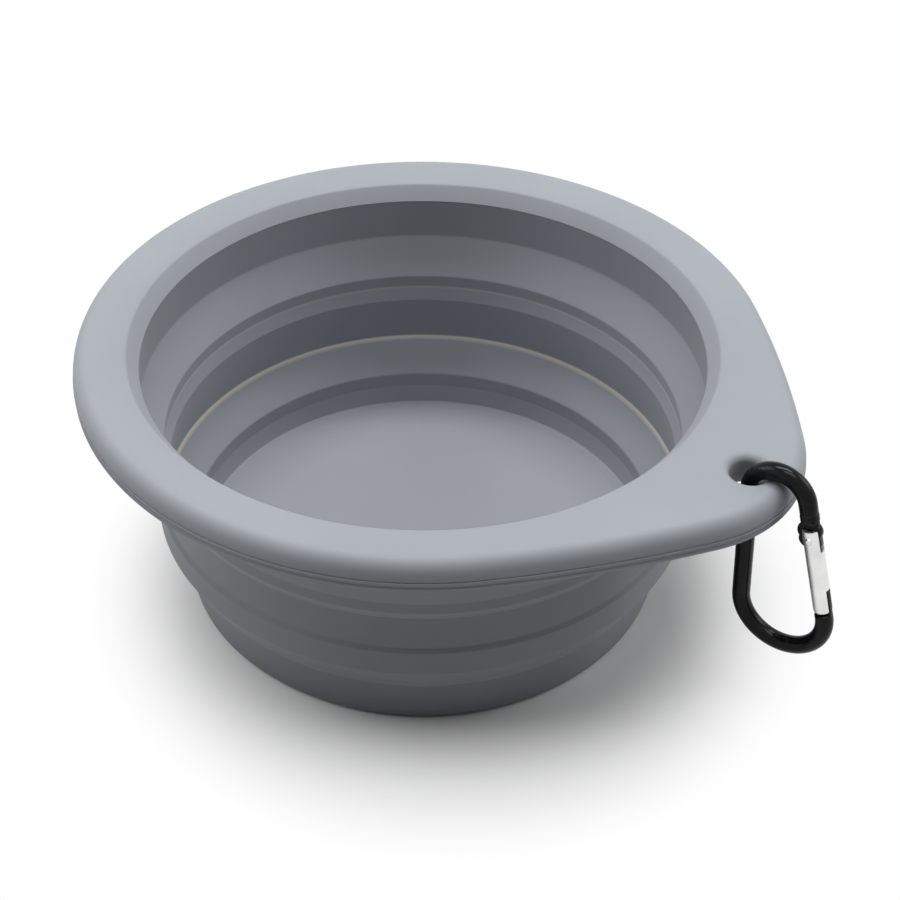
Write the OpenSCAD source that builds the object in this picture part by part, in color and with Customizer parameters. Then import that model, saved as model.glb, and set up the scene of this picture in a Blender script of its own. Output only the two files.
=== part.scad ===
/* [Bowl] */
// Radius of the round part of the rim
rim_r = 65; // [58:0.5:72]
// Height of the rim ring above the seam with the soft wall
rim_ring_h = 3.7; // [3:0.1:5]
// Width of the rim, from the opening out to its round edge
rim_w = 11.9; // [10:0.1:15]
// Width of the sloping band inside the rim ring
mouth_slope_w = 2; // [1:0.1:3]
// Thickness of the soft wall
wall_t = 1.5; // [1.2:0.1:1.8]
// Thickness of the soft flange under the rim ring
flange_h = 1.9; // [1.6:0.1:3]
// Height of the soft wall from the seam down to the upper fold
upper_wall_h = 9.5; // [8:0.1:12]
// How far the upper wall leans out, from the opening to its crease
upper_lean = 1; // [0.5:0.1:2]
// How far the upper fold steps in, from that crease to the middle ring
upper_step = 4; // [3.6:0.1:6]
// Height of the upper fold
upper_fold_h = 7.95; // [6:0.05:9]
// Height of the middle ring's bead
bead_h = 5.85; // [4:0.05:7]
// Height of the middle ring's band below its bead
middle_band_h = 10.9; // [9:0.1:13]
// How far the middle ring leans out, from its bead to its crease
middle_lean = 1.7; // [1:0.1:2.5]
// How far the lower fold steps in, from that crease to the base cup
lower_step = 5.1; // [4.6:0.1:7]
// Height of the lower fold
lower_fold_h = 7.2; // [6:0.05:9]
// Height of the base cup
cup_h = 9.7; // [8:0.1:12]
// How far the standing face reaches past the base cup's inside
foot_out = 0.3; // [0.1:0.1:0.8]
// Thickness of the floor
floor_t = 2.75; // [1.5:0.05:4]

/* [Lobe] */
// How far the lobe reaches past the round rim
lobe_out = 11.3; // [10.5:0.1:14]
// Radius of the lobe's tip
lobe_tip_r = 26.7; // [20:0.1:30]
// Radius of the lobe's long flanks
flank_r = 224; // [180:1:300]
// Diameter of the hole in the lobe
hole_d = 6.8; // [6.5:0.1:7.6]
// Width of the bridge between the hole and the lobe's tip
bridge_w = 4.6; // [4.2:0.1:4.8]

/* [Carabiner] */
// Length of the carabiner
clip_l = 40; // [38:0.5:46]
// Diameter of the carabiner's rod
rod_d = 3.2; // [3:0.1:3.4]
// Inner radius of the narrow end
narrow_r = 3.8; // [3.8:0.1:4.4]
// Inner radius of the wide end
wide_r = 6.4; // [6:0.1:8]
// Outward lean of the hanging carabiner, in degrees
clip_lean = 10.5; // [6:0.5:14]
// Diameter of the gate
gate_d = 3.3; // [3.1:0.1:3.6]
// Share of the straight leg that lies above the gate's rivet
rivet_share = 0.29; // [0.284:0.002:0.32]
// Diameter of the gate's rivet
rivet_d = 1; // [0.8:0.05:1.2]
// Thickness of the rod's flat ends, inside the gate's slots
tongue_t = 1.2; // [1:0.05:1.3]
// Diameter of the gate's spring bore
bore_d = 2; // [1.9:0.05:2.2]

/* [Hidden] */
$fn = 96;

// Colours of the moulding, the coated rod and the bare metal
soft_grey = [0.6, 0.63, 0.67];
coat_black = [0.05, 0.05, 0.055];
bare_metal = [0.8, 0.8, 0.82];

// Overrun of a cut past the face that it opens
over = 1;
// Gap between pieces that lie face to face
seat_gap = 0.02;
// Gap between the rod and the bridge that it hangs on
rest_gap = 0.4;
// Running clearance of the rivet in the tongue, and its fit in the gate
run_gap = 0.05;
fit_gap = 0.02;
// Clearance of a slot beside a flat end, and of the gate past the rod's ends
slot_gap = 0.1;
gate_gap = 0.3;

// Heights of the seams and creases, from the standing face up
cup_z = cup_h;
lower_crease_z = cup_z + lower_fold_h;
bead_z = lower_crease_z + middle_band_h;
bead_top_z = bead_z + bead_h;
upper_crease_z = bead_top_z + upper_fold_h;
seam_z = upper_crease_z + upper_wall_h;
top_z = seam_z + rim_ring_h;

// Inner radii, from the opening down to the base cup, and the foot's radius
mouth_r = rim_r - rim_w;
upper_crease_r = mouth_r + upper_lean;
bead_r = upper_crease_r - upper_step;
lower_crease_r = bead_r + middle_lean;
cup_r = lower_crease_r - lower_step;
foot_r = cup_r + foot_out;

// Horizontal thickness of the slanting folds, and of the thin crease at the lower one
upper_fold_t = wall_t * sqrt(1 + pow(upper_step / upper_fold_h, 2));
lower_fold_t = wall_t * sqrt(1 + pow(lower_step / lower_fold_h, 2));
crease_thin_share = 0.46;
lower_crease_t = lower_fold_t * crease_thin_share;

// Rim ring: where its top is highest, its flat part ends and its edge is round
crest_share = 0.68;
crown_in_share = 0.38;
crown_out_share = 0.78;
edge_w = 2.5;
edge_steps = 5;

// Lobe outline
round_steps = 96;
flank_steps = 8;
tip_steps = 20;
lobe_reach = rim_r + lobe_out;
tip_x = lobe_reach - lobe_tip_r;
far_a = flank_r - rim_r;
far_b = flank_r - lobe_tip_r;
far_x = (pow(far_a, 2) - pow(far_b, 2) + pow(tip_x, 2)) / (2 * tip_x);
far_y = -sqrt(pow(far_a, 2) - pow(far_x, 2));
round_end = atan2(-far_y, -far_x);
flank_end = atan2(-far_y, tip_x - far_x);
hole_x = lobe_reach - bridge_w - hole_d / 2;
hole_edge_r = 1.5;
flange_inset = 0.25;

// Carabiner: its narrow end's centre is where it swings
swing_x_share = 0.45;
swing_x = lobe_reach - bridge_w * swing_x_share;
swing_z = top_z + rest_gap - narrow_r;
rod_r = rod_d / 2;
narrow_spine_r = narrow_r + rod_r;
wide_spine_r = wide_r + rod_r;
spine_l = clip_l - narrow_spine_r - wide_spine_r - rod_d;
leg_turn = asin((wide_spine_r - narrow_spine_r) / spine_l);
leg_l = sqrt(pow(spine_l, 2) - pow(wide_spine_r - narrow_spine_r, 2));

// Gate: places along the open leg, counted from the narrow end's tangent point
rivet_at = leg_l * rivet_share;
gate_head_l = 1.8;
gate_top_at = rivet_at - gate_head_l;
gate_corner_r = norm([gate_head_l, gate_d / 2]);
cheek_end_at = rivet_at - gate_corner_r - gate_gap;
neck_l = 2.9;
stub_l = gate_top_at - neck_l;
seat_l = 0.9;
seat_at = leg_l - seat_l;
gate_end_at = seat_at - gate_gap;
finger_share = 0.209;
finger_l = leg_l * finger_share;
finger_top_at = seat_at - finger_l - gate_gap;
finger_w = 1.1;
finger_gap = 0.25;
slot_t = tongue_t + 2 * slot_gap;
cheek_w = 3;
cheek_t = 2.4;
cheek_lap = 0.8;

// Cam that the flat end forms round the rivet: it pushes the plunger back as the gate opens
cam_r = 1.6;
cam_down = 0.4;
cam_in = 0.8;
tongue_w = 3.1;
tongue_end = 1.7;
bulge_r = 2.15;
bulge_up = 1.3;
bulge_in = 0.25;
cam_reach = cam_r + norm([cam_down, cam_in]);
slot_end_at = rivet_at + cam_reach + slot_gap;

// Bends of the rod are drawn this much thinner, and its straights run this far into them
bend_thin = 0.01;
bend_lap = 0.05;

// Spring and plunger in the gate's bore
plunger_d = bore_d - 2 * run_gap - 2 * fit_gap;
plunger_at = rivet_at + cam_down + cam_r + run_gap;
plunger_head_l = 1.6;
plunger_stem_d = 0.7;
plunger_stem_l = 1.6;
spring_wire_d = 0.3;
spring_rise = 0.86;
spring_rings = 8;
spring_sides = 6;
spring_r = (plunger_d - spring_wire_d) / 2;
spring_at = plunger_at + plunger_head_l + fit_gap;
bore_wall = 0.93;
bore_end_at = finger_top_at - bore_wall;
spring_l = bore_end_at - fit_gap - spring_at;
spring_turns = round((spring_l - spring_wire_d) / spring_rise);
spring_pitch = (spring_l - spring_wire_d) / spring_turns;
head_h = 0.35;
head_r_share = 1.35;

// Outline of the rim with its lobe, as pairs of a point and its outward direction
function turn(a) = [cos(a), sin(a)];
function arc_run(centre, r, from, to, steps) =
    [for (i = [0 : steps]) let (a = from + (to - from) * i / steps) [centre + r * turn(a), turn(a)]];
function drop_last(run) = [for (i = [0 : len(run) - 2]) run[i]];
function rim_outline() = concat(
    drop_last(arc_run([tip_x, 0], lobe_tip_r, -flank_end, flank_end, tip_steps)),
    drop_last(arc_run([far_x, far_y], flank_r, flank_end, round_end, flank_steps)),
    drop_last(arc_run([0, 0], rim_r, round_end, 360 - round_end, round_steps)),
    drop_last(arc_run([far_x, -far_y], flank_r, -round_end, -flank_end, flank_steps)));
outline = rim_outline();

// Section of the rim ring at one place: points on the round mouth, then points on the outline
mouth_rows = [
    [mouth_r, seam_z],
    [mouth_r + mouth_slope_w, seam_z + rim_ring_h * crest_share],
    [mouth_r + rim_w * crown_in_share, top_z],
    [mouth_r + rim_w * crown_out_share - edge_w / 3, top_z]];
edge_rows = [for (i = [0 : edge_steps])
    let (a = 90 - 90 * i / edge_steps) [edge_w * (1 - cos(a)), seam_z + rim_ring_h * sin(a)]];
function mouth_point(p, row) = let (u = p[0] / norm(p[0])) [u.x * row[0], u.y * row[0], row[1]];
function edge_point(p, row) = let (q = p[0] - p[1] * row[0]) [q.x, q.y, row[1]];
rim_stations = [for (p = outline) concat(
    [for (row = mouth_rows) mouth_point(p, row)],
    [for (row = edge_rows) edge_point(p, row)])];

// A closed ring of four-sided patches between stations that each hold a closed section
module swept_ring(stations) {
    m = len(stations[0]);
    n = len(stations);
    points = [for (s = stations) each s];
    faces = [for (i = [0 : n - 1]) for (j = [0 : m - 1])
        let (a = i, b = (i + 1) % n, k = (j + 1) % m)
        each [[a * m + j, b * m + j, b * m + k], [a * m + j, b * m + k, a * m + k]]];
    polyhedron(points, faces, convexity = 6);
}

// The hole through the lobe, with a rounded edge where it opens upwards
module lobe_hole(low_z, high_z, round_top) {
    r = hole_d / 2;
    edge = round_top ? hole_edge_r : 0;
    translate([hole_x, 0, 0]) {
        translate([0, 0, low_z - over]) cylinder(r = r, h = high_z - low_z + 2 * over);
        if (round_top)
            translate([0, 0, high_z - edge]) rotate_extrude()
                difference() {
                    square([r + edge, edge + over]);
                    translate([r + edge, 0]) circle(r = edge);
                }
    }
}

module rim_ring() {
    color(soft_grey) difference() {
        swept_ring(rim_stations);
        lobe_hole(seam_z, top_z, true);
    }
}

module upper_wall() {
    top = seam_z - seat_gap;
    under = top - flange_h;
    color(soft_grey) difference() {
        union() {
            translate([0, 0, under]) linear_extrude(flange_h)
                polygon([for (p = outline) p[0] - p[1] * flange_inset]);
            rotate_extrude() polygon([
                [mouth_r, top],
                [upper_crease_r, upper_crease_z],
                [upper_crease_r + upper_fold_t, upper_crease_z],
                [mouth_r + upper_fold_t, under],
                [mouth_r + 2 * wall_t, under],
                [mouth_r + 2 * wall_t, top]]);
        }
        translate([0, 0, under - over]) cylinder(r = mouth_r, h = flange_h + 2 * over);
        rotate_extrude() polygon([
            [0, top],
            [mouth_r, top],
            [upper_crease_r, upper_crease_z],
            [0, upper_crease_z]]);
        lobe_hole(under, top, false);
    }
}

module upper_fold() {
    color(soft_grey) rotate_extrude() polygon([
        [bead_r, bead_top_z + seat_gap],
        [bead_r + upper_fold_t, bead_top_z + seat_gap],
        [upper_crease_r + upper_fold_t, upper_crease_z - seat_gap],
        [upper_crease_r, upper_crease_z - seat_gap]]);
}

// Bead: its inside is slightly hollow and its outside ends in a small lip
bead_hollow = 0.2;
bead_neck = 0.5;
bead_waist_share = 0.53;
lip_share = 0.6;
lip_out = 0.1;
ridge_h_share = 0.4;
ridge_step_share = 0.06;
ridge_out = 0.35;

module middle_ring() {
    neck_r = bead_r - bead_neck;
    lip_r = bead_r + upper_fold_t + lip_out;
    ridge_top = lower_crease_z + middle_band_h * ridge_h_share;
    ridge_step = middle_band_h * ridge_step_share;
    ridge_r = lower_crease_r + lower_crease_t;
    color(soft_grey) rotate_extrude() polygon([
        [lower_crease_r, lower_crease_z],
        [ridge_r, lower_crease_z],
        [ridge_r, ridge_top],
        [ridge_r - ridge_out, ridge_top + ridge_step],
        [neck_r + wall_t, bead_z + bead_h * (1 - lip_share)],
        [lip_r, bead_z + bead_h * lip_share],
        [bead_r + upper_fold_t, bead_top_z],
        [bead_r, bead_top_z],
        [bead_r + bead_hollow, bead_z + bead_h * bead_waist_share],
        [neck_r, bead_z]]);
}

module lower_fold() {
    color(soft_grey) rotate_extrude() polygon([
        [cup_r, cup_z + seat_gap],
        [cup_r + lower_fold_t, cup_z + seat_gap],
        [lower_crease_r + lower_crease_t, lower_crease_z - seat_gap],
        [lower_crease_r, lower_crease_z - seat_gap]]);
}

cup_hollow = 0.1;
cup_waist_share = 0.5;
cup_foot_in = 0.65;
foot_edge = 0.5;

module base_cup() {
    color(soft_grey) rotate_extrude() polygon([
        [0, 0],
        [foot_r - foot_edge, 0],
        [foot_r, foot_edge],
        [cup_r + lower_fold_t, cup_z],
        [cup_r, cup_z],
        [cup_r + cup_hollow, floor_t + (cup_z - floor_t) * cup_waist_share],
        [cup_r - cup_foot_in, floor_t],
        [0, floor_t]]);
}

// Puts a carabiner piece, drawn about its narrow end's centre, where it hangs
module hung() {
    translate([swing_x, 0, swing_z]) rotate([0, -clip_lean, 0]) children();
}

// Rod bent to a radius about a centre on the carabiner's own axis
module bent_rod(drop, spine_r, from, sweep) {
    translate([0, 0, -drop]) rotate([90, 0, 0])
        rotate_extrude(angle = sweep, start = from)
            translate([spine_r, 0]) circle(r = rod_r - bend_thin, $fn = 32);
}

// Frame of a straight leg: along +X from the narrow end's tangent point, outwards is +Z
module on_leg(side) {
    mirror([side < 0 ? 1 : 0, 0, 0])
        rotate([0, -leg_turn, 0]) translate([narrow_spine_r, 0, 0]) rotate([0, 90, 0]) children();
}

// Flat disc in the leg's frame
module flat_disc(at, out, r, t) {
    translate([at, 0, out]) rotate([90, 0, 0]) translate([0, 0, -t / 2]) cylinder(r = r, h = t, $fn = 48);
}

module leg_box(from, to, low, high, t) {
    translate([from, -t / 2, low]) cube([to - from, t, high - low]);
}

module leg_rod(from, to, r) {
    translate([from, 0, 0]) rotate([0, 90, 0]) cylinder(r = r, h = to - from, $fn = 32);
}

module carabiner_body() {
    color(coat_black) hung() difference() {
        union() {
            bent_rod(0, narrow_spine_r, leg_turn, 180 - 2 * leg_turn);
            bent_rod(spine_l, wide_spine_r, 180 - leg_turn, 180 + 2 * leg_turn);
            on_leg(-1) leg_rod(-bend_lap, leg_l + bend_lap, rod_r);
            on_leg(1) {
                leg_rod(-bend_lap, stub_l, rod_r);
                leg_box(stub_l - cheek_lap, cheek_end_at, -cheek_w / 2, cheek_w / 2, cheek_t);
                leg_box(stub_l - cheek_lap, rivet_at + tongue_end, -tongue_w / 2, tongue_w / 2, tongue_t);
                flat_disc(rivet_at - bulge_up, -bulge_in, bulge_r, tongue_t);
                flat_disc(rivet_at + cam_down, -cam_in, cam_r, tongue_t);
                leg_rod(seat_at, leg_l + bend_lap, rod_r);
                leg_box(seat_at - finger_l, leg_l, rod_r - finger_w, rod_r, tongue_t);
            }
        }
        on_leg(1) flat_disc(rivet_at, 0, rivet_d / 2 + run_gap, tongue_t + 2 * over);
    }
}

module carabiner_gate() {
    color(bare_metal) hung() on_leg(1) difference() {
        leg_rod(gate_top_at, gate_end_at, gate_d / 2);
        leg_rod(gate_top_at - over, bore_end_at, bore_d / 2);
        leg_box(gate_top_at - over, slot_end_at, -gate_d, gate_d, slot_t);
        leg_box(finger_top_at, gate_end_at + over, rod_r - finger_w - finger_gap, gate_d, slot_t);
        flat_disc(rivet_at, 0, rivet_d / 2 + fit_gap, gate_d + 2 * over);
    }
}

module gate_rivet() {
    r = rivet_d / 2;
    color(bare_metal) hung() on_leg(1) translate([rivet_at, 0, 0]) rotate([90, 0, 0]) {
        translate([0, 0, -gate_d / 2]) cylinder(r = r, h = gate_d, $fn = 32);
        for (side = [-1, 1]) translate([0, 0, side * gate_d / 2])
            mirror([0, 0, side < 0 ? 1 : 0])
                cylinder(r1 = r * head_r_share, r2 = r, h = head_h, $fn = 32);
    }
}

// Points of the spring's tube: rings of a few sides along a helix about the leg's line
function helix_at(t) = [spring_pitch * t + spring_wire_d / 2, spring_r * cos(360 * t), spring_r * sin(360 * t)];
function spring_ring(i) = let (
    t = i / spring_rings,
    c = helix_at(t),
    u = [0, cos(360 * t), sin(360 * t)])
    [for (k = [0 : spring_sides - 1]) let (a = 360 * k / spring_sides)
        c + spring_wire_d / 2 * (cos(a) * u + sin(a) * [1, 0, 0])];
spring_stations = [for (i = [0 : spring_turns * spring_rings]) spring_ring(i)];
function least(list) = min([for (v = list) v]);
spring_self_gap = least([for (i = [0 : spring_rings]) for (j = [0 : spring_rings / 2])
    norm(helix_at(i / spring_rings) - helix_at(i / spring_rings + 1 + (j - spring_rings / 4) / spring_rings / 4))])
    - spring_wire_d;
echo(spring_least_gap_to_itself = spring_self_gap);

module gate_spring() {
    n = len(spring_stations);
    m = spring_sides;
    walls = [for (i = [0 : n - 2]) for (k = [0 : m - 1]) let (j = (k + 1) % m)
        each [[i * m + k, (i + 1) * m + j, (i + 1) * m + k], [i * m + k, i * m + j, (i + 1) * m + j]]];
    ends = [[for (k = [m - 1 : -1 : 0]) k], [for (k = [0 : m - 1]) (n - 1) * m + k]];
    color(bare_metal) hung() on_leg(1) translate([spring_at, 0, 0])
        polyhedron([for (s = spring_stations) each s], concat(walls, ends), convexity = 20);
}

module spring_plunger() {
    r = plunger_d / 2;
    color(bare_metal) hung() on_leg(1) {
        leg_rod(plunger_at, plunger_at + plunger_head_l, r);
        leg_rod(plunger_at + plunger_head_l - fit_gap, plunger_at + plunger_head_l + plunger_stem_l,
            plunger_stem_d / 2);
    }
}

rim_ring();
upper_wall();
upper_fold();
middle_ring();
lower_fold();
base_cup();
carabiner_body();
carabiner_gate();
gate_rivet();
gate_spring();
spring_plunger();
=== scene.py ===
# %% [markdown]
# # A collapsible silicone bowl with its carabiner
#
# The real bowl is one soft moulding with a stiff ring inside its rim. Its wall is a stack of
# upright bands joined by slanting folds, and each fold rolls over when the bowl is pushed flat.
# A small snap-gate carabiner hangs from a hole in the rim's lobe.
#
# The CAD model is loaded first. It gives the bodies and the joints. It is never moved: each
# detailed piece is made beside it, in metres, and then takes a node's place.

# %% Load the CAD model and keep its box
from math import acos, asin, atan2, cos, degrees, hypot, pi, radians, sin, sqrt, tan

import bpy
from mathutils import Matrix, Vector


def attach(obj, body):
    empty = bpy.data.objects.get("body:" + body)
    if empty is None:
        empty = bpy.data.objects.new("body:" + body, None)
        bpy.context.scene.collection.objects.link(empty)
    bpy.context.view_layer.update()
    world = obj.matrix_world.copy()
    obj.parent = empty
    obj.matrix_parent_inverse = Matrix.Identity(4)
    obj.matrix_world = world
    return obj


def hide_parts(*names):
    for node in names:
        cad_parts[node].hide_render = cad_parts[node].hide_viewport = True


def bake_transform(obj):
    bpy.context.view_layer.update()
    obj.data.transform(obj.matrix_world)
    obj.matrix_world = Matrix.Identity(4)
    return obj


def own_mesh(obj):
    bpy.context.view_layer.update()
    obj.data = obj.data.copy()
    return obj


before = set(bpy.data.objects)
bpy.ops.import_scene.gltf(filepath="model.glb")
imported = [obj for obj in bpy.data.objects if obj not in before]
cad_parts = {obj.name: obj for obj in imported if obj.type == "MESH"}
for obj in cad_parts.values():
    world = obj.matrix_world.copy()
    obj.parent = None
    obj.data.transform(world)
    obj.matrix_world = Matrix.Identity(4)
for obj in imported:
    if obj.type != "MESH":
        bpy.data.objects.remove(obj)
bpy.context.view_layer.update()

MM = 0.001

# %% [markdown]
# ## Sizes
#
# The same named sizes as in the CAD source are repeated here, in millimetres, so that each piece
# lands on the solid that it replaces. Heights count up from the face that the bowl stands on.

# %% Sizes of the bowl
rim_r = 65.0
mouth_r = 53.1
seam_z = 51.1
seam_gap = 0.03
top_z = 54.8
flange_z = 49.2
lobe_tip_r = 26.7
lobe_reach = 76.3
flank_r = 224.0
hole_d = 6.8
bridge_w = 4.6
hole_x = lobe_reach - bridge_w - hole_d / 2

# Each fold runs between the two heights given here
upper_fold_low, upper_fold_high = 33.65, 41.6
lower_fold_low, lower_fold_high = 9.7, 16.9
print("hole centre", hole_x, "mm from the bowl's axis")

# %% Sizes of the carabiner's rod, and where it hangs
rod_r = 1.6
narrow_bend_r, wide_bend_r = 3.8, 6.4
narrow_r = narrow_bend_r + rod_r
wide_r = wide_bend_r + rod_r
clip_l = 40.0
spine_l = clip_l - narrow_r - wide_r - 2 * rod_r
leg_turn = asin((wide_r - narrow_r) / spine_l)
leg_l = sqrt(spine_l**2 - (wide_r - narrow_r) ** 2)
clip_lean = radians(10.5)
swing_share, rest_gap = 0.45, 0.4
swing_at = Vector((lobe_reach - bridge_w * swing_share, 0, top_z + rest_gap - narrow_bend_r))
print("straight legs", round(leg_l, 2), "mm, turned", round(degrees(leg_turn), 2), "degrees")

# %% Sizes of the gate and of the rod's pressed ends
gate_r = 1.65
gate_head_l, gate_gap, neck_l, seat_l = 1.8, 0.3, 2.9, 0.9
rivet_share, finger_share = 0.29, 0.209
rivet_at = leg_l * rivet_share
gate_top_at = rivet_at - gate_head_l
stub_l = gate_top_at - neck_l
seat_at = leg_l - seat_l
gate_end_at = seat_at - gate_gap
finger_l = leg_l * finger_share
finger_w, finger_gap, finger_root = 1.1, 0.25, 0.8
tongue_w, tongue_t, tongue_end, slot_gap = 3.1, 1.2, 1.7, 0.1
cheek_w, cheek_t, cheek_lap = 3.0, 2.4, 0.6
cam_r, cam_down, cam_in = 1.6, 0.4, 0.8
bulge_r, bulge_t, bulge_up, bulge_in = 2.15, 1.26, 1.3, 0.25
bore_r, bore_wall = 1.0, 0.93
print("gate", round(gate_end_at - gate_top_at, 2), "mm long")

# %% [markdown]
# ## Hand tools
#
# An operator acts on everything that is selected, so each step begins by letting go of it all.
# A section is drawn as a hand would: a small plane is merged to one point, and the point is
# extruded along the section. Spin then turns the section round the bowl's axis.

# %% Let go of everything, and tidy a finished mesh
def let_go():
    if bpy.context.object and bpy.context.object.mode != "OBJECT":
        bpy.ops.object.mode_set(mode="OBJECT")
    bpy.ops.object.select_all(action="DESELECT")


def pick(piece):
    let_go()
    piece.select_set(True)
    bpy.context.view_layer.objects.active = piece


def close_up(piece, merge=1e-6):
    """Doubles are merged and faces turned outwards."""
    pick(piece)
    bpy.ops.object.mode_set(mode="EDIT")
    bpy.ops.mesh.select_all(action="SELECT")
    bpy.ops.mesh.remove_doubles(threshold=merge)
    bpy.ops.mesh.normals_make_consistent(inside=False)
    bpy.ops.object.mode_set(mode="OBJECT")


def cap_ends(piece, sides):
    """Open ends get a face. No hole with more sides than given is filled, and 0 fills them all."""
    pick(piece)
    bpy.ops.object.mode_set(mode="EDIT")
    bpy.ops.mesh.select_all(action="SELECT")
    bpy.ops.mesh.fill_holes(sides=sides)
    bpy.ops.object.mode_set(mode="OBJECT")


def smooth(piece, angle=35):
    pick(piece)
    bpy.ops.object.shade_smooth_by_angle(angle=radians(angle))


# %% Apply a modifier, cut one piece with another, and set a piece down
def add_modifier(piece, kind, **settings):
    """One modifier, set up and applied."""
    pick(piece)
    bpy.ops.object.modifier_add(type=kind)
    made = piece.modifiers[-1]
    for name, value in settings.items():
        setattr(made, name, value)
    bpy.ops.object.modifier_apply(modifier=made.name)


def cut_away(piece, cutter):
    """The cutter's shape is taken out of the piece, and the cutter is thrown away."""
    add_modifier(piece, "BOOLEAN", operation="DIFFERENCE", solver="EXACT", object=cutter)
    bpy.data.objects.remove(cutter, do_unlink=True)


def set_down(piece, turn, place):
    """Turns and moves a piece, and leaves its origin at the bowl's own."""
    piece.rotation_euler = turn
    piece.location = place
    pick(piece)
    bpy.ops.object.transform_apply(location=True, rotation=True, scale=True)


# %% Draw a section from one point
def draw_section(name, points):
    let_go()
    bpy.ops.mesh.primitive_plane_add(size=MM, location=(0, 0, 0))
    piece = bpy.context.object
    piece.name = name
    piece.data.name = name
    bpy.ops.object.mode_set(mode="EDIT")
    bpy.ops.mesh.select_mode(type="VERT")
    bpy.ops.mesh.select_all(action="SELECT")
    bpy.ops.mesh.merge(type="CENTER")
    bpy.ops.transform.translate(value=(points[0][0] * MM, 0, points[0][1] * MM))
    for (r0, z0), (r1, z1) in zip(points, points[1:]):
        step = ((r1 - r0) * MM, 0, (z1 - z0) * MM)
        bpy.ops.mesh.extrude_region_move(TRANSFORM_OT_translate={"value": step})
    return piece


def turn_section(name, points, steps=240):
    """The section turned all the way round the bowl's axis."""
    piece = draw_section(name, points)
    bpy.ops.mesh.select_all(action="SELECT")
    bpy.ops.mesh.spin(steps=steps, angle=2 * pi, center=(0, 0, 0), axis=(0, 0, 1))
    bpy.ops.object.mode_set(mode="OBJECT")
    close_up(piece)
    return piece


# %% Round the corners of a section, and add points to its long sides
def rounded(corners, steps=5):
    """corners are (r, z, radius). A corner with a radius becomes a short arc."""
    line = []
    for i, (r, z, radius) in enumerate(corners):
        here = Vector((r, z))
        if radius == 0 or i in (0, len(corners) - 1):
            line.append((r, z))
            continue
        to_last = (Vector(corners[i - 1][:2]) - here).normalized()
        to_next = (Vector(corners[i + 1][:2]) - here).normalized()
        half = acos(max(-1, min(1, to_last.dot(to_next)))) / 2
        reach = radius / tan(half)
        centre = here + (to_last + to_next).normalized() * (radius / sin(half))
        first = here + to_last * reach - centre
        last = here + to_next * reach - centre
        sweep = first.angle_signed(last)
        for k in range(steps + 1):
            a = -sweep * k / steps
            across = centre.x + first.x * cos(a) - first.y * sin(a)
            height = centre.y + first.x * sin(a) + first.y * cos(a)
            line.append((across, height))
    return line


def finer(line, step):
    """The same line with points no further apart than about one step."""
    out = [line[0]]
    for (r0, z0), (r1, z1) in zip(line, line[1:]):
        n = max(1, round(hypot(r1 - r0, z1 - z0) / step))
        out += [(r0 + (r1 - r0) * k / n, z0 + (z1 - z0) * k / n) for k in range(1, n + 1)]
    return out


def between(line, high, low):
    """The part of a falling line between two heights, with its ends cut level."""
    out = []
    for (r0, z0), (r1, z1) in zip(line, line[1:]):
        for z in (high, low):
            if z0 > z > z1:
                out.append((r0 + (r1 - r0) * (z0 - z) / (z0 - z1), z))
        if high >= z1 >= low:
            out.append((r1, z1))
    if high >= line[0][1] >= low:
        out.insert(0, line[0])
    return sorted(out, key=lambda p: -p[1])


# %% [markdown]
# ## The wall's two lines
#
# The soft wall is read off the photo as two lines, one for its inside and one for its outside.
# Both fall all the way from the seam under the rim to the floor. A band that leans out below is
# dark, because it turns away from the light above; a fold that slants in is light.
#
# The wall is cut level in the middle of its stiff bands, not at its creases, so that each crease
# stays whole and round in one piece and no cut shows.

# %% Inside and outside line of the wall, as (r, z, radius) at each corner
inside_line = rounded(
    [
        (mouth_r, seam_z - seam_gap, 0),
        (54.1, upper_fold_high, 1.1),
        (50.1, upper_fold_low, 0.8),
        (50.35, 30.9, 0.5),
        (49.6, 27.8, 0.7),
        (51.8, lower_fold_high, 0.6),
        (46.7, lower_fold_low, 0.8),
        (46.9, 6.3, 0.6),
        (46.05, 2.6, 0),
        (0, 2.6, 0),
    ]
)
outside_line = rounded(
    [
        (54.85, flange_z, 0),
        (55.6, 41.9, 1.2),
        (52.1, 33.9, 0.6),
        (52.0, 31.3, 0.35),
        (51.2, 29.6, 0.6),
        (51.65, 22.75, 0.35),
        (52.35, 22.1, 0.45),
        (52.6, 17.2, 0.6),
        (49.6, 11.2, 0.5),
        (49.2, 10.5, 0.5),
        (47.5, 0.6, 0.9),
        (46.6, 0, 0),
    ]
)
cuts = {"upper": 43.4, "bead": 32.4, "ridge": 19.6, "cup": 8.0}
print("wall lines of", len(inside_line), "and", len(outside_line), "points")


def wall_section(high, low, step=0.5):
    inner = finer(between(inside_line, high, low), step)
    outer = finer(between(outside_line, high, low), step)
    return inner + outer[::-1] + inner[:1]


# %% [markdown]
# ## The rim's outline
#
# Seen from above, the rim is a circle that grows a lobe: the circle meets a long flank arc, and
# that meets the lobe's tip, with no corner anywhere. Each station along this outline is a point
# with its outward direction.
#
# The rim is first spun as a plain round ring with one step for each station. Its points are then
# moved out to the outline, row by row, as a hand would drag them.

# %% Stations along the outline
tip_x = lobe_reach - lobe_tip_r
far_a, far_b = flank_r - rim_r, flank_r - lobe_tip_r
far_x = (far_a**2 - far_b**2 + tip_x**2) / (2 * tip_x)
far_y = -sqrt(far_a**2 - far_x**2)
round_end = atan2(-far_y, -far_x)
flank_end = atan2(-far_y, tip_x - far_x)
tip_steps, flank_steps, round_steps = 24, 20, 200


def arc_run(cx, cy, r, start, end, steps):
    turns = [start + (end - start) * i / steps for i in range(steps)]
    return [(Vector((cx + r * cos(a), cy + r * sin(a))), Vector((cos(a), sin(a)))) for a in turns]


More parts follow.
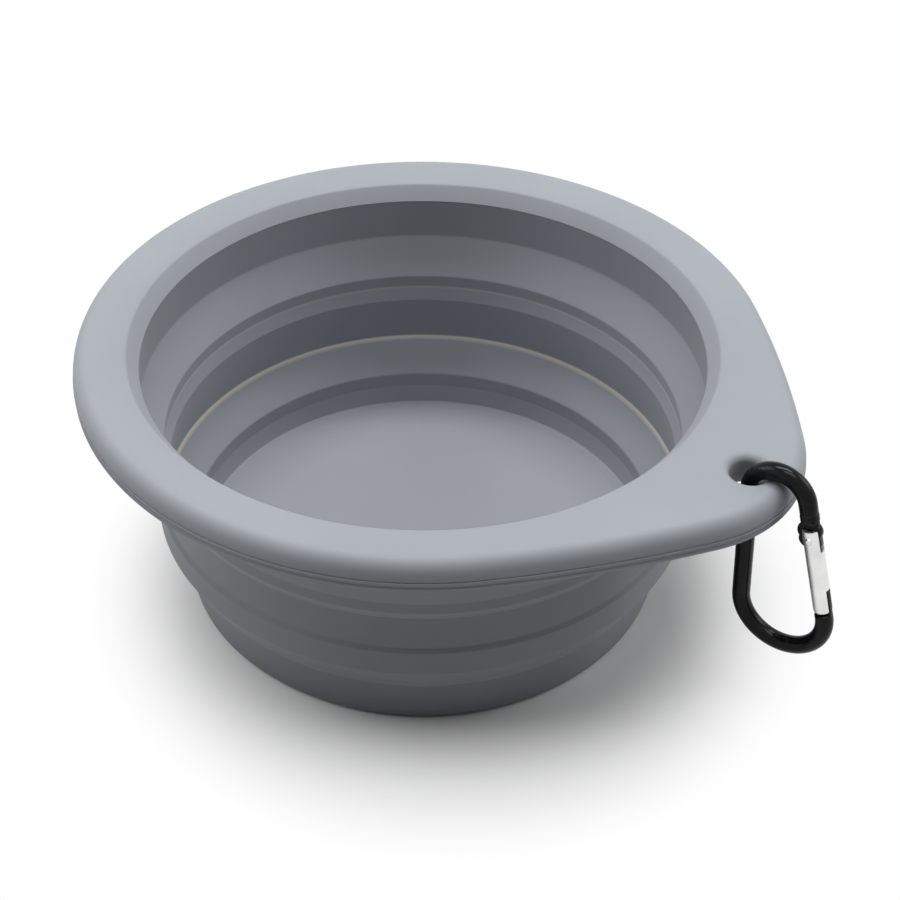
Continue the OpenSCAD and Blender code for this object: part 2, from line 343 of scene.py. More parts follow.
stations = (
    arc_run(tip_x, 0, lobe_tip_r, 0, flank_end, tip_steps)
    + arc_run(far_x, far_y, flank_r, flank_end, round_end, flank_steps)
    + arc_run(0, 0, rim_r, round_end, 2 * pi - round_end, round_steps)
    + arc_run(far_x, -far_y, flank_r, -round_end, -flank_end, flank_steps)
    + arc_run(tip_x, 0, lobe_tip_r, -flank_end, 0, tip_steps)
)
print("stations", len(stations))


# %% Spin a ring and move its rows out to the outline
def ring_on_outline(name, rows):
    """rows are (kind, value, z): 'mouth' counts out from the round mouth, 'edge' counts in from
    the outline, and 'share' is a share of the way between the last mouth row and first edge row."""
    near_seam = seam_z - 1.5
    last_mouth = max(v for kind, v, z in rows if kind == "mouth" and z > near_seam)
    first_edge = max(v for kind, v, z in rows if kind == "edge" and z > near_seam)
    r_in, r_out = mouth_r + last_mouth, rim_r - first_edge
    plain = []
    for kind, v, z in rows:
        r = {"mouth": mouth_r + v, "edge": rim_r - v, "share": r_in + (r_out - r_in) * v}[kind]
        plain.append((r, z))
    n = len(stations)
    piece = turn_section(name, plain + plain[:1], steps=n)
    for point in piece.data.vertices:
        x, y, z = point.co
        r, z = hypot(x, y) / MM, z / MM
        nearest = min(range(len(rows)), key=lambda k: hypot(plain[k][0] - r, plain[k][1] - z))
        kind, value, height = rows[nearest]
        at, out = stations[round((atan2(y, x) % (2 * pi)) * n / (2 * pi)) % n]
        inner = at.normalized() * (mouth_r + (value if kind == "mouth" else last_mouth))
        outer = at - out * (value if kind == "edge" else first_edge)
        place = {"mouth": inner, "edge": outer, "share": inner.lerp(outer, value)}[kind]
        point.co = (place.x * MM, place.y * MM, height * MM)
    return piece


# %% [markdown]
# ## Rim ring
#
# The ring above the seam slopes up from the mouth to a crisp crest, rises over a low crown and
# rolls down to the outer edge. The slope and crest are short straight rows, the crown is a curve
# that flattens out, and the edge is a quarter of an ellipse.

# %% Make the rim ring
crest_at, crest_z = 2.1, 53.74
crown_run, crown_rise = 7.0, 1.06
edge_in, edge_w, edge_low = 0.12, 2.5, seam_z + 0.3


def crown_z(m):
    t = min(1, max(0, (m - crest_at) / crown_run))
    return crest_z + crown_rise * (1 - (1 - t) ** 2)


rim_rows = [("mouth", 0.9, seam_z + 0.02), ("mouth", 0.0, seam_z - 0.36)]
rim_rows += [("mouth", 0.06, seam_z - 0.28), ("mouth", 1.0, 52.3), ("mouth", 1.9, 53.5)]
rim_rows += [("mouth", 2.03, 53.64), ("mouth", 2.18, crest_z)]
rim_rows += [("mouth", m, crown_z(m)) for m in (2.45, 3.0, 4.0, 5.0, 6.0, 7.0, 8.0)]
rim_rows += [("share", s, top_z) for s in (0.2, 0.4, 0.6, 0.8)]
for k in range(11):
    a = pi / 2 * (1 - k / 10.5)
    edge_z = edge_low + (top_z - edge_low) * sin(a)
    rim_rows.append(("edge", edge_in + edge_w * (1 - cos(a)), edge_z))
rim_rows += [("edge", 0.15, seam_z + 0.14), ("edge", 0.24, seam_z + 0.02)]
rim_ring = ring_on_outline("rim_top", rim_rows)
print("rim ring", len(rim_ring.data.polygons), "faces")


# %% [markdown]
# ## Hole in the lobe
#
# The carabiner's hole has a soft round edge on top. A cutter is spun with that edge as a hollow
# in its own side, so one boolean makes the hole and its rounding together.

# %% Cut the hole through the rim ring
def cut_hole(piece, low, side):
    """side is the cutter's line above its foot, as (r, z), which ends on the hole's own axis."""
    foot = [(0, low), (hole_d / 2, low)]
    cutter = turn_section("hole_cutter", foot + side, steps=64)
    cutter.location.x = hole_x * MM
    cut_away(piece, cutter)


hole_edge_r, edge_end, above_top = 1.5, 2.2, 0.15
soft_side = []
for k in range(9):
    a = pi - radians(80) * k / 8
    across = hole_d / 2 + hole_edge_r + hole_edge_r * cos(a)
    soft_side.append((across, top_z - hole_edge_r + hole_edge_r * sin(a)))
soft_side += [(hole_d / 2 + edge_end, top_z + above_top), (0, top_z + above_top + 0.5)]
cut_hole(rim_ring, seam_z - 1, soft_side)
smooth(rim_ring, 40)
add_modifier(rim_ring, "WEIGHTED_NORMAL", keep_sharp=True)
print("rim ring with its hole", len(rim_ring.data.polygons), "faces")

# %% [markdown]
# ## Upper wall
#
# Below the seam the silicone shows as a flat flange that follows the rim's outline, with a fine
# second line where the mould closes, and the upright wall that hangs from it.

# %% Make the flange and the upper wall in one piece
upper_rows = [("mouth", 0.9, seam_z - seam_gap), ("edge", 0.22, seam_z - seam_gap)]
upper_rows += [("edge", 0.03, seam_z - 0.1), ("edge", 0.0, seam_z - 0.2)]
upper_rows += [("edge", 0.02, seam_z - 0.36), ("edge", 0.22, seam_z - 0.6)]
upper_rows += [("edge", 0.34, seam_z - 1.1)]
upper_rows += [("edge", 0.06, flange_z + 0.34), ("edge", 0.06, flange_z + 0.18)]
upper_rows += [("edge", 0.24, flange_z + 0.03), ("edge", 0.5, flange_z), ("edge", 1.6, flange_z)]
wall_out = between(outside_line, flange_z, cuts["upper"])
root = wall_out[0][0]
fillet = [(root + 0.7, flange_z), (root + 0.22, flange_z - 0.2), (root + 0.05, flange_z - 0.65)]
wall_in = between(inside_line, seam_z - 0.5, cuts["upper"])
for r, z in fillet + wall_out[1:] + wall_in[::-1]:
    upper_rows.append(("mouth", r - mouth_r, z))
upper_wall = ring_on_outline("flange_and_wall", upper_rows)
below_flange, above_seam = 47, 52
cut_hole(upper_wall, below_flange, [(hole_d / 2, above_seam), (0, above_seam)])
smooth(upper_wall, 40)
add_modifier(upper_wall, "WEIGHTED_NORMAL", keep_sharp=True)
print("upper wall", len(upper_wall.data.polygons), "faces")

# %% [markdown]
# ## Folds, middle ring and base cup
#
# The rest of the soft wall is plain turned work. A fold gets many rows of points, because it
# rolls over when the bowl is pushed flat and must stay round while it does.

# %% Turn the folds and the middle ring
upper_fold = turn_section("upper_roll", wall_section(cuts["upper"], cuts["bead"]))
middle_ring = turn_section("middle_band", wall_section(cuts["bead"], cuts["ridge"]))
lower_fold = turn_section("lower_roll", wall_section(cuts["ridge"], cuts["cup"]))
for piece in (upper_fold, middle_ring, lower_fold):
    smooth(piece)
    print(piece.name, len(piece.data.polygons), "faces")

# %% Turn the base cup with its floor
floor_z, under_z = 2.75, 0.25
cup_in = between(inside_line, cuts["cup"], 2.62)
cup_out = between(outside_line, cuts["cup"], 0)
gutter = [(45.9, 2.47), (45.6, 2.43), (45.2, 2.47), (44.6, 2.58), (43.8, 2.7), (43.0, floor_z)]
floor_in = gutter + [(r, floor_z) for r in (40, 30, 20, 10, 3, 0)]
floor_out = [(0, under_z), (30, under_z), (42.5, under_z), (43.2, 0.0)]
cup_line = finer(cup_in, 1.5) + floor_in + floor_out + cup_out[::-1]
base_cup = turn_section("cup_and_floor", cup_line + cup_line[:1])
smooth(base_cup)
add_modifier(base_cup, "WEIGHTED_NORMAL", keep_sharp=True)
print("base cup", len(base_cup.data.polygons), "faces")

# %% [markdown]
# ## Carabiner rod
#
# The body is one rod bent round two arcs. A circle is set square to the open leg, extruded up to
# the narrow end, spun over it, extruded down the closed leg and spun round the wide end.
# It is made upright about its own narrow end, and hung in its place afterwards.

# %% Directions and places along the open leg
up_open_leg = Vector((-sin(leg_turn), 0, cos(leg_turn)))
down_closed_leg = Vector((-sin(leg_turn), 0, -cos(leg_turn)))
out_open_leg = Vector((cos(leg_turn), 0, sin(leg_turn)))


def on_open_leg(at, out=0.0):
    """A place on the open leg: down from its top, and outwards from the rod's middle."""
    return (out_open_leg * (narrow_r + out) - up_open_leg * at) * MM


def on_leg(piece, at, out=0.0):
    """Moves a piece, made about its own middle, to its place on the open leg."""
    set_down(piece, (0, -leg_turn, 0), on_open_leg(at, out))
    return piece


def extrude(step, parts=1):
    for _ in range(parts):
        move = {"value": tuple(step * (MM / parts))}
        bpy.ops.mesh.extrude_region_move(TRANSFORM_OT_translate=move)


# %% Bend the rod
let_go()
bpy.ops.mesh.primitive_circle_add(
    vertices=40, radius=rod_r * MM, location=on_open_leg(stub_l), rotation=(0, -leg_turn, 0)
)
rod = bpy.context.object
rod.name = "carabiner_rod"
bpy.ops.object.transform_apply(location=True, rotation=True, scale=True)
bpy.ops.object.mode_set(mode="EDIT")
bpy.ops.mesh.select_all(action="SELECT")
extrude(up_open_leg * stub_l)
bend = {"axis": (0, 1, 0), "dupli": False, "use_auto_merge": False}
bpy.ops.mesh.spin(steps=40, angle=pi - 2 * leg_turn, center=(0, 0, 0), **bend)
extrude(down_closed_leg * leg_l, 6)
bpy.ops.mesh.spin(steps=52, angle=pi + 2 * leg_turn, center=(0, 0, -spine_l * MM), **bend)
extrude(up_open_leg * (leg_l - seat_at))
bpy.ops.object.mode_set(mode="OBJECT")
close_up(rod)
print("rod", len(rod.data.vertices), "points")

# %% [markdown]
# ## The rod's two ends
#
# Above the gate the rod is pressed to a cheek and then to a thin tongue, which carries the rivet
# and bulges inwards as a cam. At the nose it is pressed to a thin finger that lies in the gate's
# lower slot. All of these are flat stampings, so they are plates and discs with soft edges.

# %% Close the rod's ends
cap_ends(rod, 0)
close_up(rod)
add_modifier(
    rod, "BEVEL", width=0.4 * MM, segments=4, limit_method="ANGLE", angle_limit=radians(60)
)
print("rod with closed ends", len(rod.data.polygons), "faces")


# %% Plates and discs for the pressed parts
def plate(name, length, width, thick, corner):
    """A flat plate with soft edges, made about its own middle."""
    let_go()
    bpy.ops.mesh.primitive_cube_add(size=1, location=(0, 0, 0))
    piece = bpy.context.object
    piece.name = name
    piece.scale = (width * MM, thick * MM, length * MM)
    bpy.ops.object.transform_apply(location=False, rotation=False, scale=True)
    add_modifier(piece, "BEVEL", width=corner * MM, segments=3, limit_method="ANGLE")
    return piece


def disc(name, r, thick):
    """A flat disc with soft edges, made about its own middle."""
    let_go()
    bpy.ops.mesh.primitive_cylinder_add(
        vertices=48, radius=r * MM, depth=thick * MM, rotation=(pi / 2, 0, 0)
    )
    piece = bpy.context.object
    piece.name = name
    bpy.ops.object.transform_apply(location=False, rotation=True, scale=False)
    add_modifier(piece, "BEVEL", width=0.12 * MM, segments=2, limit_method="ANGLE")
    return piece


# %% Cheek, tongue, cam and finger
cheek_from = stub_l - cheek_lap
cheek_to = rivet_at - hypot(gate_head_l, gate_r) - gate_gap
tongue_to = rivet_at + tongue_end
cheek = plate("cheek", cheek_to - cheek_from, cheek_w, cheek_t, corner=0.7)
on_leg(cheek, (cheek_from + cheek_to) / 2)
tongue = plate("tongue", tongue_to - stub_l, tongue_w, tongue_t, corner=0.3)
on_leg(tongue, (tongue_to + stub_l) / 2)
cam = on_leg(disc("cam", cam_r, tongue_t), rivet_at + cam_down, -cam_in)
bulge = on_leg(disc("bulge", bulge_r, bulge_t), rivet_at - bulge_up, -bulge_in)
finger = plate("finger", finger_l + finger_root, finger_w, tongue_t, corner=0.3)
on_leg(finger, seat_at - finger_l / 2 + finger_root / 2, rod_r - finger_w / 2)
pick(rod)
for piece in (cheek, tongue, cam, bulge, finger):
    piece.select_set(True)
bpy.ops.object.join()
print("carabiner body", len(rod.data.polygons), "faces")

# %% [markdown]
# ## Gate
#
# The gate is a short rod with a slot across its top for the tongue, a slot in its outer side for
# the nose's finger, a bore for its spring and a round lower end. Slots and bore are cut with
# booleans, and a fine bevel then breaks all the edges, as tumbling does to the real one.

# %% Turn the gate
gate_len = gate_end_at - gate_top_at
gate_foot_r = 0.7
gate_line = [(0, 0), (gate_r - 0.2, 0), (gate_r - 0.06, -0.06), (gate_r, -0.2)]
gate_line += [(gate_r, -down) for down in (4, 8, 12)]
for k in range(7):
    a = pi / 2 * k / 6
    foot_z = -gate_len + gate_foot_r * (1 - sin(a))
    gate_line.append((gate_r - gate_foot_r * (1 - cos(a)), foot_z))
gate_line.append((0, -gate_len))
gate = turn_section("gate_tube", gate_line, steps=48)
print("turned gate", len(gate.data.polygons), "faces")


# %% Cut the gate's slots and its bore, and break its edges
def cut_box(piece, low, high):
    """A box cut out of a piece, between two corners in millimetres."""
    let_go()
    middle = [(a + b) / 2 * MM for a, b in zip(low, high)]
    bpy.ops.mesh.primitive_cube_add(size=1, location=middle)
    cutter = bpy.context.object
    cutter.scale = [(b - a) * MM for a, b in zip(low, high)]
    bpy.ops.object.transform_apply(location=True, rotation=False, scale=True)
    cut_away(piece, cutter)


over, past_side = 1, 3
slot_half = tongue_t / 2 + slot_gap
slot_end = rivet_at + cam_r + hypot(cam_down, cam_in) + slot_gap - gate_top_at
cut_box(gate, (-past_side, -slot_half, -slot_end), (past_side, slot_half, over))
finger_top = seat_at - finger_l - gate_gap - gate_top_at
finger_in = rod_r - (finger_w + finger_gap)
cut_box(gate, (finger_in, -slot_half, -gate_len - over), (past_side, slot_half, -finger_top))
let_go()
bore_len = finger_top - bore_wall
bpy.ops.mesh.primitive_cylinder_add(
    vertices=32,
    radius=bore_r * MM,
    depth=(bore_len + over) * MM,
    location=(0, 0, (over - bore_len) / 2 * MM),
)
bore = bpy.context.object
bpy.ops.object.transform_apply(location=True, rotation=False, scale=True)
cut_away(gate, bore)
add_modifier(
    gate, "BEVEL", width=0.07 * MM, segments=2, limit_method="ANGLE", angle_limit=radians(50)
)
on_leg(gate, gate_top_at)
print("gate", len(gate.data.polygons), "faces")

# %% [markdown]
# ## Rivet
#
# The rivet is a pin with a low domed head on each side of the gate, and a fine ring pressed round
# each head where the gate was upset.

# %% Make the rivet
head = [(0, 2.02), (0.3, 1.98), (0.5, 1.9), (0.62, 1.78), (0.66, 1.66), (0.6, 1.6), (0.5, 1.56)]
rivet_line = head + [(0.5, 0.5)]
rivet_line += [(r, -z) for r, z in rivet_line[::-1]]
rivet = turn_section("rivet_pin", rivet_line, steps=40)
set_down(rivet, (pi / 2, 0, 0), on_open_leg(rivet_at))
print("rivet", len(rivet.data.polygons), "faces")

# %% [markdown]
# ## Spring
#
# A small coil spring in the gate's bore shuts the gate. It is a wire circle wound by a Screw
# modifier and capped at its ends. It is made here, because a new mesh can be shortened as the
# plunger comes in, and the CAD one can't.

# %% Wind the spring
spring_from, spring_to, turns = 10.414, 16.245, 6
wire_r, coil_r = 0.15, 0.78
let_go()
bpy.ops.mesh.primitive_circle_add(
    vertices=10,
    radius=wire_r * MM,
    location=(coil_r * MM, 0, -wire_r * MM),
    rotation=(pi / 2, 0, 0),
)
spring = bpy.context.object
spring.name = "spring_coil"
bpy.ops.object.transform_apply(location=True, rotation=True, scale=True)
rise = (spring_to - spring_from - 2 * wire_r) / turns
add_modifier(
    spring, "SCREW", screw_offset=-rise * MM, iterations=turns, steps=24, render_steps=24
)
cap_ends(spring, 12)
on_leg(spring, spring_from)
print("spring", len(spring.data.polygons), "faces")

# %% Hang the carabiner's pieces in the lobe's hole
for piece in (rod, gate, rivet, spring):
    set_down(piece, (0, -clip_lean, 0), swing_at * MM)
    close_up(piece, merge=1e-7)
    smooth(piece)
    print(piece.name, "lowest", round(min(v.co.z for v in piece.data.vertices) / MM, 2), "mm")

# %% [markdown]
# ## Painted highlights along the creases
#
# A pale warm line is painted along each crease as a highlight. Each point of the soft wall gets a
# number, up to 1 in a crease and 0 away from it. It is kept on the points, so it stays with the
# crease when the fold rolls.

# %% Paint the crease highlights, given as (r, z, width, strength)
creases = [
    (51.55, 16.55, 0.25, 1.0),
    (50.35, 30.8, 0.25, 0.25),
    (52.0, 31.3, 0.25, 0.25),
    (49.6, 11.2, 0.3, 0.2),
]
highlight_spread = 2.2


# Each point gets its share of a pale warm colour painted along the creases: a painted highlight.
def paint_crease_highlights(piece):
    mark = piece.data.attributes.new("painted_highlight", "FLOAT", "POINT")
    highlight_share = []
    for v in piece.data.vertices:
        r, z = hypot(v.co.x, v.co.y) / MM, v.co.z / MM
        rubs_and_highlights = [s * (1 - hypot(r - cr, z - cz) / w / highlight_spread) for cr, cz, w, s in creases]
        highlight_share.append(max(0.0, *rubs_and_highlights))
    mark.data.foreach_set("value", highlight_share)
    return max(highlight_share)


for piece in (rim_ring, upper_wall, upper_fold, middle_ring, lower_fold, base_cup):
    print(piece.name, "most rubbed", round(paint_crease_highlights(piece), 2))


# %% [markdown]
# ## Silicone
#
# Matte silicone has a fine tooth from the mould that scatters light softly, a faint cloudiness in
# its colour, and a little dust that lifts it. All of that is a few noises on object coordinates,
# at the real size of each. The rim and the wall share it, with a slightly different grey.

# %% Small helpers for node materials
def grey(value):
    return (value, value, value)


def new_material(name):
    material = bpy.data.materials.new(name)
    material.use_nodes = True
    nodes, links = material.node_tree.nodes, material.node_tree.links
    shader = nodes["Principled BSDF"]
    place = nodes.new("ShaderNodeTexCoord")
    return material, nodes, links, shader, place


def noise(nodes, links, place, scale, detail, rough=0.5):
    """A noise on object coordinates. One unit is a metre, so scale counts bumps in a metre."""
    made = nodes.new("ShaderNodeTexNoise")
    made.inputs["Scale"].default_value = scale
    made.inputs["Detail"].default_value = detail
    made.inputs["Roughness"].default_value = rough
    links.new(place.outputs["Object"], made.inputs["Vector"])
    return made.outputs["Fac"]


def ramp(nodes, links, source, low, high, low_colour, high_colour):
    """A colour that runs from one to the other while the source runs from low to high."""
    made = nodes.new("ShaderNodeValToRGB")
    made.color_ramp.elements[0].position = low
    made.color_ramp.elements[1].position = high
    made.color_ramp.elements[0].color = (*low_colour, 1)
    made.color_ramp.elements[1].color = (*high_colour, 1)
    links.new(source, made.inputs["Fac"])
    return made.outputs["Color"]


# %% Two more helpers, for mixed colours and for bumps
def mix(nodes, links, share, under, over_it):
    """The source that lies under, and a plain colour laid over it by a share."""
    made = nodes.new("ShaderNodeMix")
    made.data_type = "RGBA"
    links.new(share, made.inputs["Factor"])
    links.new(under, made.inputs["A"])
    made.inputs["B"].default_value = (*over_it, 1)
    return made.outputs["Result"]


def bump(nodes, links, shader, layers):
    """layers are (height, distance in metres, strength), one bump over the last."""
    last = None
    for height, distance, strength in layers:
        made = nodes.new("ShaderNodeBump")
        made.inputs["Distance"].default_value = distance
        made.inputs["Strength"].default_value = strength
        links.new(height, made.inputs["Height"])
        if last:
            links.new(last, made.inputs["Normal"])
        last = made.outputs["Normal"]
    links.new(last, shader.inputs["Normal"])


# %% Make the silicone
def silicone(name, base, crease_highlight_colour):
    material, nodes, links, shader, place = new_material(name)
    cloud = noise(nodes, links, place, scale=28, detail=4)
    tooth = noise(nodes, links, place, scale=5200, detail=2)
    specks = noise(nodes, links, place, scale=1500, detail=5, rough=0.7)
    darker = tuple(c * 0.965 for c in base)
    lighter = tuple(c * 1.03 for c in base)
    dust_colour = tuple(min(1, c * 1.25) for c in base)
    body = ramp(nodes, links, cloud, 0.35, 0.65, darker, lighter)
    dust = ramp(nodes, links, specks, 0.6, 0.8, grey(0), grey(0.1))
    dusty = mix(nodes, links, dust, body, dust_colour)
    # A painted highlight: the crease shares lay a pale warm colour along each crease.
    painted_highlight = nodes.new("ShaderNodeAttribute")
    painted_highlight.attribute_name = "painted_highlight"
    highlight_share = ramp(nodes, links, painted_highlight.outputs["Fac"], 0.05, 0.7, grey(0), grey(0.85))
    links.new(mix(nodes, links, highlight_share, dusty, crease_highlight_colour), shader.inputs["Base Color"])
    rough = ramp(nodes, links, specks, 0.3, 0.7, grey(0.6), grey(0.7))
    links.new(rough, shader.inputs["Roughness"])
    shader.inputs["IOR"].default_value = 1.42
    shader.inputs["Specular IOR Level"].default_value = 0.4
    shader.inputs["Sheen Weight"].default_value = 0.12
    shader.inputs["Sheen Roughness"].default_value = 0.5
    bump(nodes, links, shader, [(cloud, 0.0004, 0.12), (tooth, 0.00003, 0.35)])
    return material


wall_grey = silicone("silicone_wall", base=(0.27, 0.283, 0.31), crease_highlight_colour=(0.62, 0.57, 0.51))
rim_grey = silicone("silicone_rim", base=(0.28, 0.299, 0.325), crease_highlight_colour=(0.42, 0.44, 0.47))
print("silicone materials", wall_grey.name, rim_grey.name)

# %% [markdown]
# ## Metals
#
# The rod is bright-dipped and dyed black, so it is smooth and mirrors the room in thin streaks.
# The gate is bare and tumbled: fine scratches run all ways, and a satin bloom lies over them.

# %% Black dyed rod
black_rod, nodes, links, shader, place = new_material("black_rod")
orange_peel = noise(nodes, links, place, scale=900, detail=2)
rubs_and_highlights = noise(nodes, links, place, scale=340, detail=6, rough=0.65)
dye = ramp(nodes, links, rubs_and_highlights, 0.55, 0.8, (0.005, 0.005, 0.006), (0.022, 0.022, 0.024))
gloss = ramp(nodes, links, rubs_and_highlights, 0.4, 0.75, grey(0.1), grey(0.24))
links.new(dye, shader.inputs["Base Color"])
links.new(gloss, shader.inputs["Roughness"])
shader.inputs["Specular IOR Level"].default_value = 0.12
bump(nodes, links, shader, [(orange_peel, 0.00004, 0.25)])
print("rod material", black_rod.name)


# %% Bare metals
def bare_metal(name, colours, rough, scratch):
    """colours and rough run from the first value to the second, and scratch is a scale."""
    material, nodes, links, shader, place = new_material(name)
    bloom = noise(nodes, links, place, scale=260, detail=4)
    stretch = nodes.new("ShaderNodeMapping")
    stretch.inputs["Scale"].default_value = scratch
    links.new(place.outputs["Object"], stretch.inputs["Vector"])
    fine = nodes.new("ShaderNodeTexNoise")
    fine.inputs["Scale"].default_value = 1.0
    fine.inputs["Detail"].default_value = 5.0
    links.new(stretch.outputs["Vector"], fine.inputs["Vector"])
    scratches = fine.outputs["Fac"]
    shader.inputs["Metallic"].default_value = 1.0
    links.new(ramp(nodes, links, bloom, 0.3, 0.7, *colours), shader.inputs["Base Color"])
    tone = ramp(nodes, links, scratches, 0.3, 0.75, grey(rough[0]), grey(rough[1]))
    links.new(tone, shader.inputs["Roughness"])
    bump(nodes, links, shader, [(scratches, 0.00002, 0.3)])
    return material


satin_gate = bare_metal(
    "satin_gate", (grey(0.7), (0.8, 0.8, 0.79)), rough=(0.3, 0.46), scratch=(9000, 9000, 1500)
)
rivet_metal = bare_metal(
    "rivet_metal", (grey(0.6), (0.75, 0.75, 0.74)), rough=(0.25, 0.4), scratch=grey(6000)
)
spring_metal = bare_metal(
    "spring_metal", (grey(0.5), grey(0.62)), rough=(0.2, 0.35), scratch=grey(4000)
)
print("metals", satin_gate.name, rivet_metal.name, spring_metal.name)

# %% [markdown]
# ## Give each piece its finish, its body and its node
#
# Each piece rides on the body that carries the CAD node it stands for. A fold has no body of its
# own and is left where it was made. On the real bowl a fold's lower end stays with the ring below,
# its upper end follows the ring above, and the points between them turn over smoothly.

# %% Finishes
def finish(piece, material):
    piece.data.materials.clear()
    piece.data.materials.append(material)


finish(rim_ring, rim_grey)
for piece in (upper_wall, upper_fold, middle_ring, lower_fold, base_cup):
    finish(piece, wall_grey)
finish(rod, black_rod)
finish(gate, satin_gate)
finish(rivet, rivet_metal)
finish(spring, spring_metal)

# %% Bodies
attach(rim_ring, "rim")
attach(upper_wall, "rim")
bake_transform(upper_fold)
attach(middle_ring, "middle")
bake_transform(lower_fold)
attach(base_cup, "base")
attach(rod, "carabiner")
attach(gate, "gate")
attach(rivet, "gate")
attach(spring, "gate")

# %% Nodes that the pieces stand for
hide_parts("rim_ring")
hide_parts("upper_wall")
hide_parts("upper_fold")
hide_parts("middle_ring")
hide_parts("lower_fold")
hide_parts("base_cup")
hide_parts("carabiner_body")
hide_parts("carabiner_gate")
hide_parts("gate_rivet")
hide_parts("gate_spring")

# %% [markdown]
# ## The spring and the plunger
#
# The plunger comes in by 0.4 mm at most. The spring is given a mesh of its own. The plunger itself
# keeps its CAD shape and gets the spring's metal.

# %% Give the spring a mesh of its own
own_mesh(spring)

carried = bpy.data.objects["spring_plunger"]
carried.data.materials.clear()
carried.data.materials.append(spring_metal)
print(carried.name, "keeps its CAD shape")

# %% [markdown]
# ## Camera
#
# The camera stands where the photographer's did. Its place and its three directions were fitted
# to the rim, the mouth, the base and the hole, in the bowl's own frame, with the lobe along +X.

# %% Set the camera
picture_px, focal_px, sensor_mm = 900, 1623.7, 36
lobe_turn = radians(36.8)
to_frame = Matrix.Rotation(lobe_turn, 3, "Z")
eye = to_frame @ Vector((0, -249.48, 228.86)) * MM
eye_right = to_frame @ Vector((0.99985, -0.01172, 0.01239))
eye_up = to_frame @ Vector((-0.00219, 0.63219, 0.77481))
eye_ahead = to_frame @ Vector((0.01691, 0.77473, -0.63207))
bpy.ops.object.camera_add(location=eye)
camera = bpy.context.object
camera.name = "photo_camera"
camera.rotation_euler = Matrix((eye_right, eye_up, -eye_ahead)).transposed().to_euler()
camera.data.sensor_width = sensor_mm
camera.data.lens = focal_px * sensor_mm / picture_px
camera.data.shift_x = -1.3 / picture_px
camera.data.shift_y = 0.4 / picture_px
camera.data.clip_start = 0.01
camera.data.clip_end = 20
bpy.context.scene.camera = camera
print("camera at", [round(c, 4) for c in eye], "lens", round(camera.data.lens, 2), "mm")

# %% [markdown]
# ## Floor and light
#
# The bowl stands on white in plain soft light from above. The floor and the world are shown as
# white to the camera and in reflections, while the light that reaches the bowl stays plain.
# Close to the bowl the floor fades to a matt surface, so that its soft shadow shows. The white glow
# beyond it is painted light, and where it fades in sets how far that shadow reaches.

# %% Helpers for the floor and the world
white = (1, 1, 1, 1)


def join_values(nodes, links, operation, a, b):
    made = nodes.new("ShaderNodeMath")
    made.operation = operation
    links.new(a, made.inputs[0])
    links.new(b, made.inputs[1])
    return made.outputs["Value"]


def show_two(nodes, links, share, first, second, output_kind):
    """The first shader turns into the second by a share, and the result goes to the output."""
    blend = nodes.new("ShaderNodeMixShader")
    out = nodes.new(output_kind)
    links.new(share, blend.inputs["Fac"])
    links.new(first, blend.inputs[1])
    links.new(second, blend.inputs[2])
    links.new(blend.outputs["Shader"], out.inputs["Surface"])


# %% Floor
floor_lit, floor_seen = 0.42, 0.8
matt_within, white_beyond = 0.042, 0.077
let_go()
bpy.ops.mesh.primitive_plane_add(size=6, location=(0, 0, 0))
floor = bpy.context.object
floor.name = "floor"
floor_white = bpy.data.materials.new("floor_white")
floor_white.use_nodes = True
nodes, links = floor_white.node_tree.nodes, floor_white.node_tree.links
nodes.clear()
path = nodes.new("ShaderNodeLightPath")
matt = nodes.new("ShaderNodeBsdfDiffuse")
tone = nodes.new("ShaderNodeMapRange")
tone.inputs["To Min"].default_value = floor_lit
tone.inputs["To Max"].default_value = floor_seen
links.new(path.outputs["Is Camera Ray"], tone.inputs["Value"])
links.new(tone.outputs["Result"], matt.inputs["Color"])
glow = nodes.new("ShaderNodeEmission")
glow.inputs["Color"].default_value = white

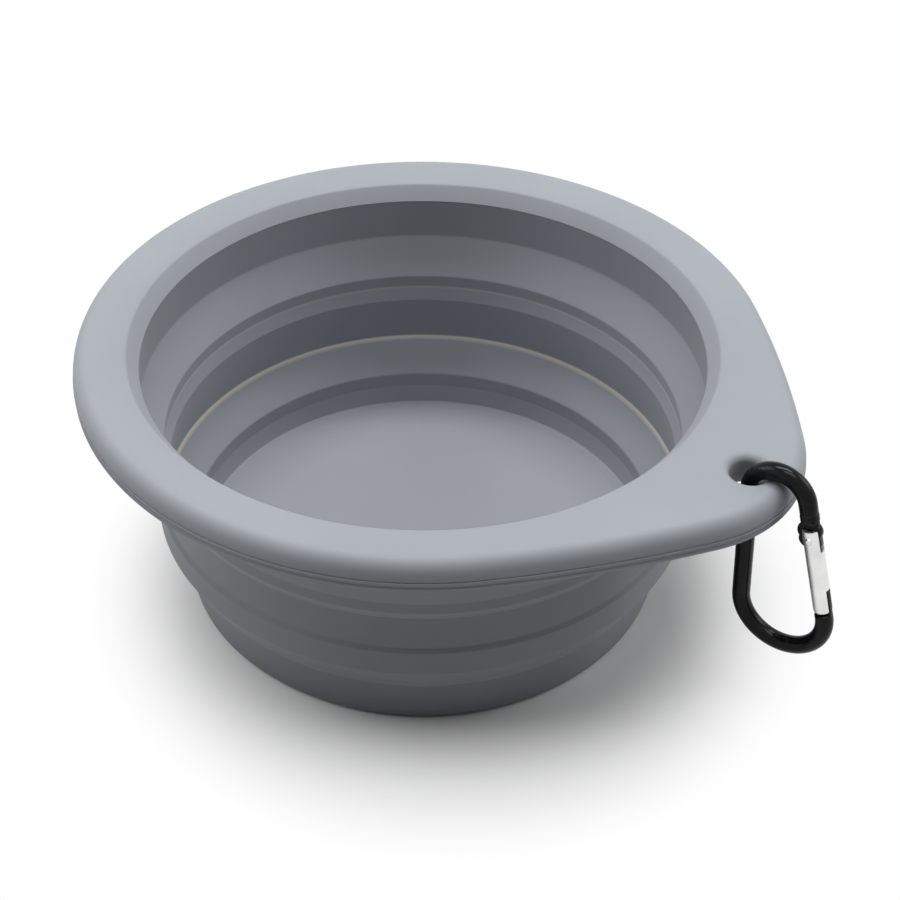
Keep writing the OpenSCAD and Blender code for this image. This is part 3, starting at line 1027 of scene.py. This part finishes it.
# %% Fade the floor from matt to white round the bowl
place = nodes.new("ShaderNodeTexCoord")
far = nodes.new("ShaderNodeVectorMath")
far.operation = "DISTANCE"
# The painted white glow fades in round a point set toward the camera and to its right, so the
# shadow shows further out at the front right.
far.inputs[1].default_value = to_frame @ Vector((0.0065, -0.0055, 0))
links.new(place.outputs["Object"], far.inputs[0])
fade = nodes.new("ShaderNodeMapRange")
fade.interpolation_type = "SMOOTHSTEP"
fade.inputs["From Min"].default_value = matt_within
fade.inputs["From Max"].default_value = white_beyond
links.new(far.outputs["Value"], fade.inputs["Value"])
is_camera, is_glossy = path.outputs["Is Camera Ray"], path.outputs["Is Glossy Ray"]
seen = join_values(nodes, links, "MAXIMUM", is_camera, is_glossy)
shown = join_values(nodes, links, "MULTIPLY", seen, fade.outputs["Result"])
matt_out, glow_out = matt.outputs["BSDF"], glow.outputs["Emission"]
show_two(nodes, links, shown, matt_out, glow_out, "ShaderNodeOutputMaterial")
floor.data.materials.append(floor_white)
print("floor", floor.dimensions.x, "m wide")


# %% World
def background(nodes, strength):
    made = nodes.new("ShaderNodeBackground")
    made.inputs["Color"].default_value = white
    made.inputs["Strength"].default_value = strength
    return made.outputs["Background"]


world = bpy.data.worlds.new("white_room")
bpy.context.scene.world = world
world.use_nodes = True
nodes, links = world.node_tree.nodes, world.node_tree.links
nodes.clear()
path = nodes.new("ShaderNodeLightPath")
is_camera, is_glossy = path.outputs["Is Camera Ray"], path.outputs["Is Glossy Ray"]
seen = join_values(nodes, links, "MAXIMUM", is_camera, path.outputs["Is Transmission Ray"])
seen = join_values(nodes, links, "MAXIMUM", seen, is_glossy)
soft, backdrop = background(nodes, 0.08), background(nodes, 1.0)
show_two(nodes, links, seen, soft, backdrop, "ShaderNodeOutputWorld")
print("world", world.name)

# %% Lamps
lamp_aim = Vector((0, 0, 0.03))


def area_lamp(name, place, size, power):
    """A soft lamp of a size in metres and a power in watts, turned to the bowl."""
    let_go()
    bpy.ops.object.light_add(type="AREA", location=place)
    lamp = bpy.context.object
    lamp.name = name
    lamp.data.shape = "RECTANGLE"
    lamp.data.size, lamp.data.size_y = size
    lamp.data.energy = power
    lamp.rotation_euler = (lamp_aim - place).to_track_quat("-Z", "Y").to_euler()
    print(lamp.name, power, "W")


def from_camera(across, away, high):
    """A place in the frame: to the camera's right, away from it, and up from the floor."""
    return to_frame @ Vector((across, away, high))


area_lamp("overhead_softbox", from_camera(0, 0.22, 0.85), (0.7, 0.2), 5.8)
area_lamp("front_fill", from_camera(0, -0.2, 0.85), (0.5, 0.25), 2.2)
area_lamp("left_softbox", from_camera(-0.75, 0.1, 0.5), (0.5, 0.5), 2.9)
area_lamp("right_softbox", from_camera(0.75, 0.1, 0.5), (0.5, 0.5), 2.9)

bpy.context.scene.view_settings.view_transform = "Standard"
